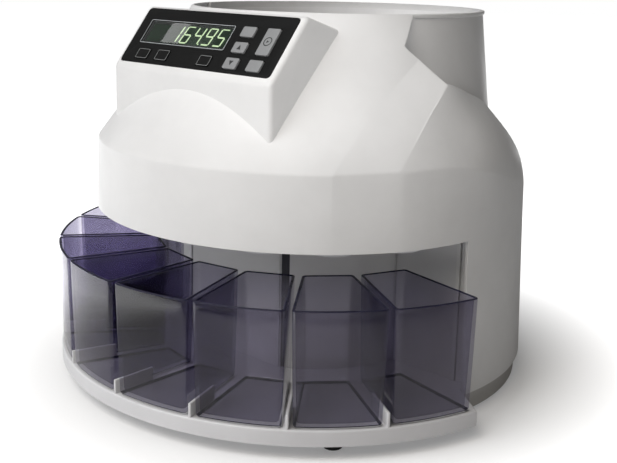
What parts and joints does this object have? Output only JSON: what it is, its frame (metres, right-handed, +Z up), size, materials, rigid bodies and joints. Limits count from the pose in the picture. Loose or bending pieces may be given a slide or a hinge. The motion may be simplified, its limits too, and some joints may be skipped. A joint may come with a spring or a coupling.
{
  "type": "coin counter",
  "caption": "Round counter-top coin counter: open hopper, sloped key panel with a display, and pull-out smoky cups on a curved tray round the front.",
  "frame": {"origin": "centre of the bounding box, at the bottom of the feet", "axes": "+Z up, the cups and the panel face -Y, +X to the viewer's right"},
  "size_m": [0.3526, 0.336, 0.2545],
  "materials": {
    "housing_white": "satin moulded plastic",
    "inner_grey": "satin",
    "cup_blue": "clear smoky blue plastic",
    "panel_black": "glossy",
    "window_dark": "tinted and glossy",
    "key_grey": "satin",
    "black_plastic": "satin",
    "rubber": "matt",
    "steel": "brushed",
    "zinc": "zinc plated",
    "brass": "turned",
    "acetal": "satin",
    "board_green": "lacquered"
  },
  "bodies": {
    "machine": {"housing": "housing_white", "base_tray": "housing_white", "bay_wall": "housing_white", "deck": "inner_grey", "sorting_ring": "steel", "sensor_board": "board_green", "hopper_bowl": "housing_white", "bearing_lower": "steel", "bearing_upper": "steel", "drive_motor": "zinc", "motor_bracket": "zinc", "panel_overlay": "panel_black", "display_window": "window_dark", "display_board": "board_green", "display_module": "black_plastic", "rear_panel": "inner_grey", "power_inlet": "black_plastic", "display_socket": "black_plastic", "serial_socket": "black_plastic", "switch_frame": "black_plastic", "main_board": "board_green", "power_board": "board_green", "transformer": "zinc", "power_capacitor": "black_plastic", "foot_1": "rubber", "foot_2": "rubber", "foot_3": "rubber", "foot_4": "rubber", "housing_screw_1": "zinc", "housing_screw_2": "zinc", "housing_screw_3": "zinc", "housing_screw_4": "zinc", "housing_screw_5": "zinc", "housing_screw_6": "zinc"},
    "spindle": {"drive_shaft": "steel", "feeder_disc": "inner_grey", "disc_cap": "black_plastic", "drive_gear": "acetal", "circlip_lower": "zinc", "circlip_upper": "zinc"},
    "motor_rotor": {"motor_pinion": "brass", "motor_shaft": "steel"},
    "cup_1": {"cup_1": "cup_blue"},
    "cup_2": {"cup_2": "cup_blue"},
    "cup_3": {"cup_3": "cup_blue"},
    "cup_4": {"cup_4": "cup_blue"},
    "cup_5": {"cup_5": "cup_blue"},
    "cup_6": {"cup_6": "cup_blue"},
    "cup_7": {"cup_7": "cup_blue"},
    "cup_8": {"cup_8": "cup_blue"},
    "key_top": {"key_top": "key_grey"},
    "key_up": {"key_up": "key_grey"},
    "key_down": {"key_down": "key_grey"},
    "key_start": {"key_start": "key_grey"},
    "key_low": {"key_low": "key_grey"},
    "key_left": {"key_left": "panel_black"},
    "key_mid": {"key_mid": "panel_black"},
    "key_right": {"key_right": "panel_black"},
    "power_switch": {"power_switch": "black_plastic"}
  },
  "joints": [
    {"name": "spindle_spin", "type": "hinge", "parent": "machine", "child": "spindle", "pos_m": [0, 0.01295, 0.13], "axis": [0, 0, 1], "continuous": true},
    {"name": "motor_spin", "type": "hinge", "parent": "machine", "child": "motor_rotor", "pos_m": [0, 0.05225, 0.07], "axis": [0, 0, 1], "continuous": true},
    {"name": "cup_1_slide", "type": "slide", "parent": "machine", "child": "cup_1", "axis": [-0.9204, -0.3909, 0], "range_m": [0, 0.075]},
    {"name": "cup_2_slide", "type": "slide", "parent": "machine", "child": "cup_2", "axis": [-0.7414, -0.6711, 0], "range_m": [0, 0.075]},
    {"name": "cup_3_slide", "type": "slide", "parent": "machine", "child": "cup_3", "axis": [-0.4804, -0.8771, 0], "range_m": [0, 0.075]},
    {"name": "cup_4_slide", "type": "slide", "parent": "machine", "child": "cup_4", "axis": [-0.1663, -0.9861, 0], "range_m": [0, 0.075]},
    {"name": "cup_5_slide", "type": "slide", "parent": "machine", "child": "cup_5", "axis": [0.1663, -0.9861, 0], "range_m": [0, 0.075]},
    {"name": "cup_6_slide", "type": "slide", "parent": "machine", "child": "cup_6", "axis": [0.4804, -0.8771, 0], "range_m": [0, 0.075]},
    {"name": "cup_7_slide", "type": "slide", "parent": "machine", "child": "cup_7", "axis": [0.7414, -0.6711, 0], "range_m": [0, 0.075]},
    {"name": "cup_8_slide", "type": "slide", "parent": "machine", "child": "cup_8", "axis": [0.9204, -0.3909, 0], "range_m": [0, 0.075]},
    {"name": "key_top_press", "type": "slide", "parent": "machine", "child": "key_top", "axis": [0, -0.7839, 0.6209], "range_m": [-0.0006, 0], "stiffness_N_per_m": 400},
    {"name": "key_up_press", "type": "slide", "parent": "machine", "child": "key_up", "axis": [0, -0.7839, 0.6209], "range_m": [-0.0006, 0], "stiffness_N_per_m": 400},
    {"name": "key_down_press", "type": "slide", "parent": "machine", "child": "key_down", "axis": [0, -0.7839, 0.6209], "range_m": [-0.0006, 0], "stiffness_N_per_m": 400},
    {"name": "key_start_press", "type": "slide", "parent": "machine", "child": "key_start", "axis": [0, -0.7839, 0.6209], "range_m": [-0.0006, 0], "stiffness_N_per_m": 400},
    {"name": "key_low_press", "type": "slide", "parent": "machine", "child": "key_low", "axis": [0, -0.7839, 0.6209], "range_m": [-0.0006, 0], "stiffness_N_per_m": 400},
    {"name": "key_left_press", "type": "slide", "parent": "machine", "child": "key_left", "axis": [0, -0.7839, 0.6209], "range_m": [-0.0006, 0], "stiffness_N_per_m": 400},
    {"name": "key_mid_press", "type": "slide", "parent": "machine", "child": "key_mid", "axis": [0, -0.7839, 0.6209], "range_m": [-0.0006, 0], "stiffness_N_per_m": 400},
    {"name": "key_right_press", "type": "slide", "parent": "machine", "child": "key_right", "axis": [0, -0.7839, 0.6209], "range_m": [-0.0006, 0], "stiffness_N_per_m": 400},
    {"name": "power_switch_rock", "type": "hinge", "parent": "machine", "child": "power_switch", "pos_m": [-0.004, 0.15865, 0.043], "axis": [1, 0, 0], "range_deg": [0, 10]}
  ],
  "couplings": [
    {"joint": "motor_spin", "follows": "spindle_spin", "ratio": -3.3333}
  ]
}
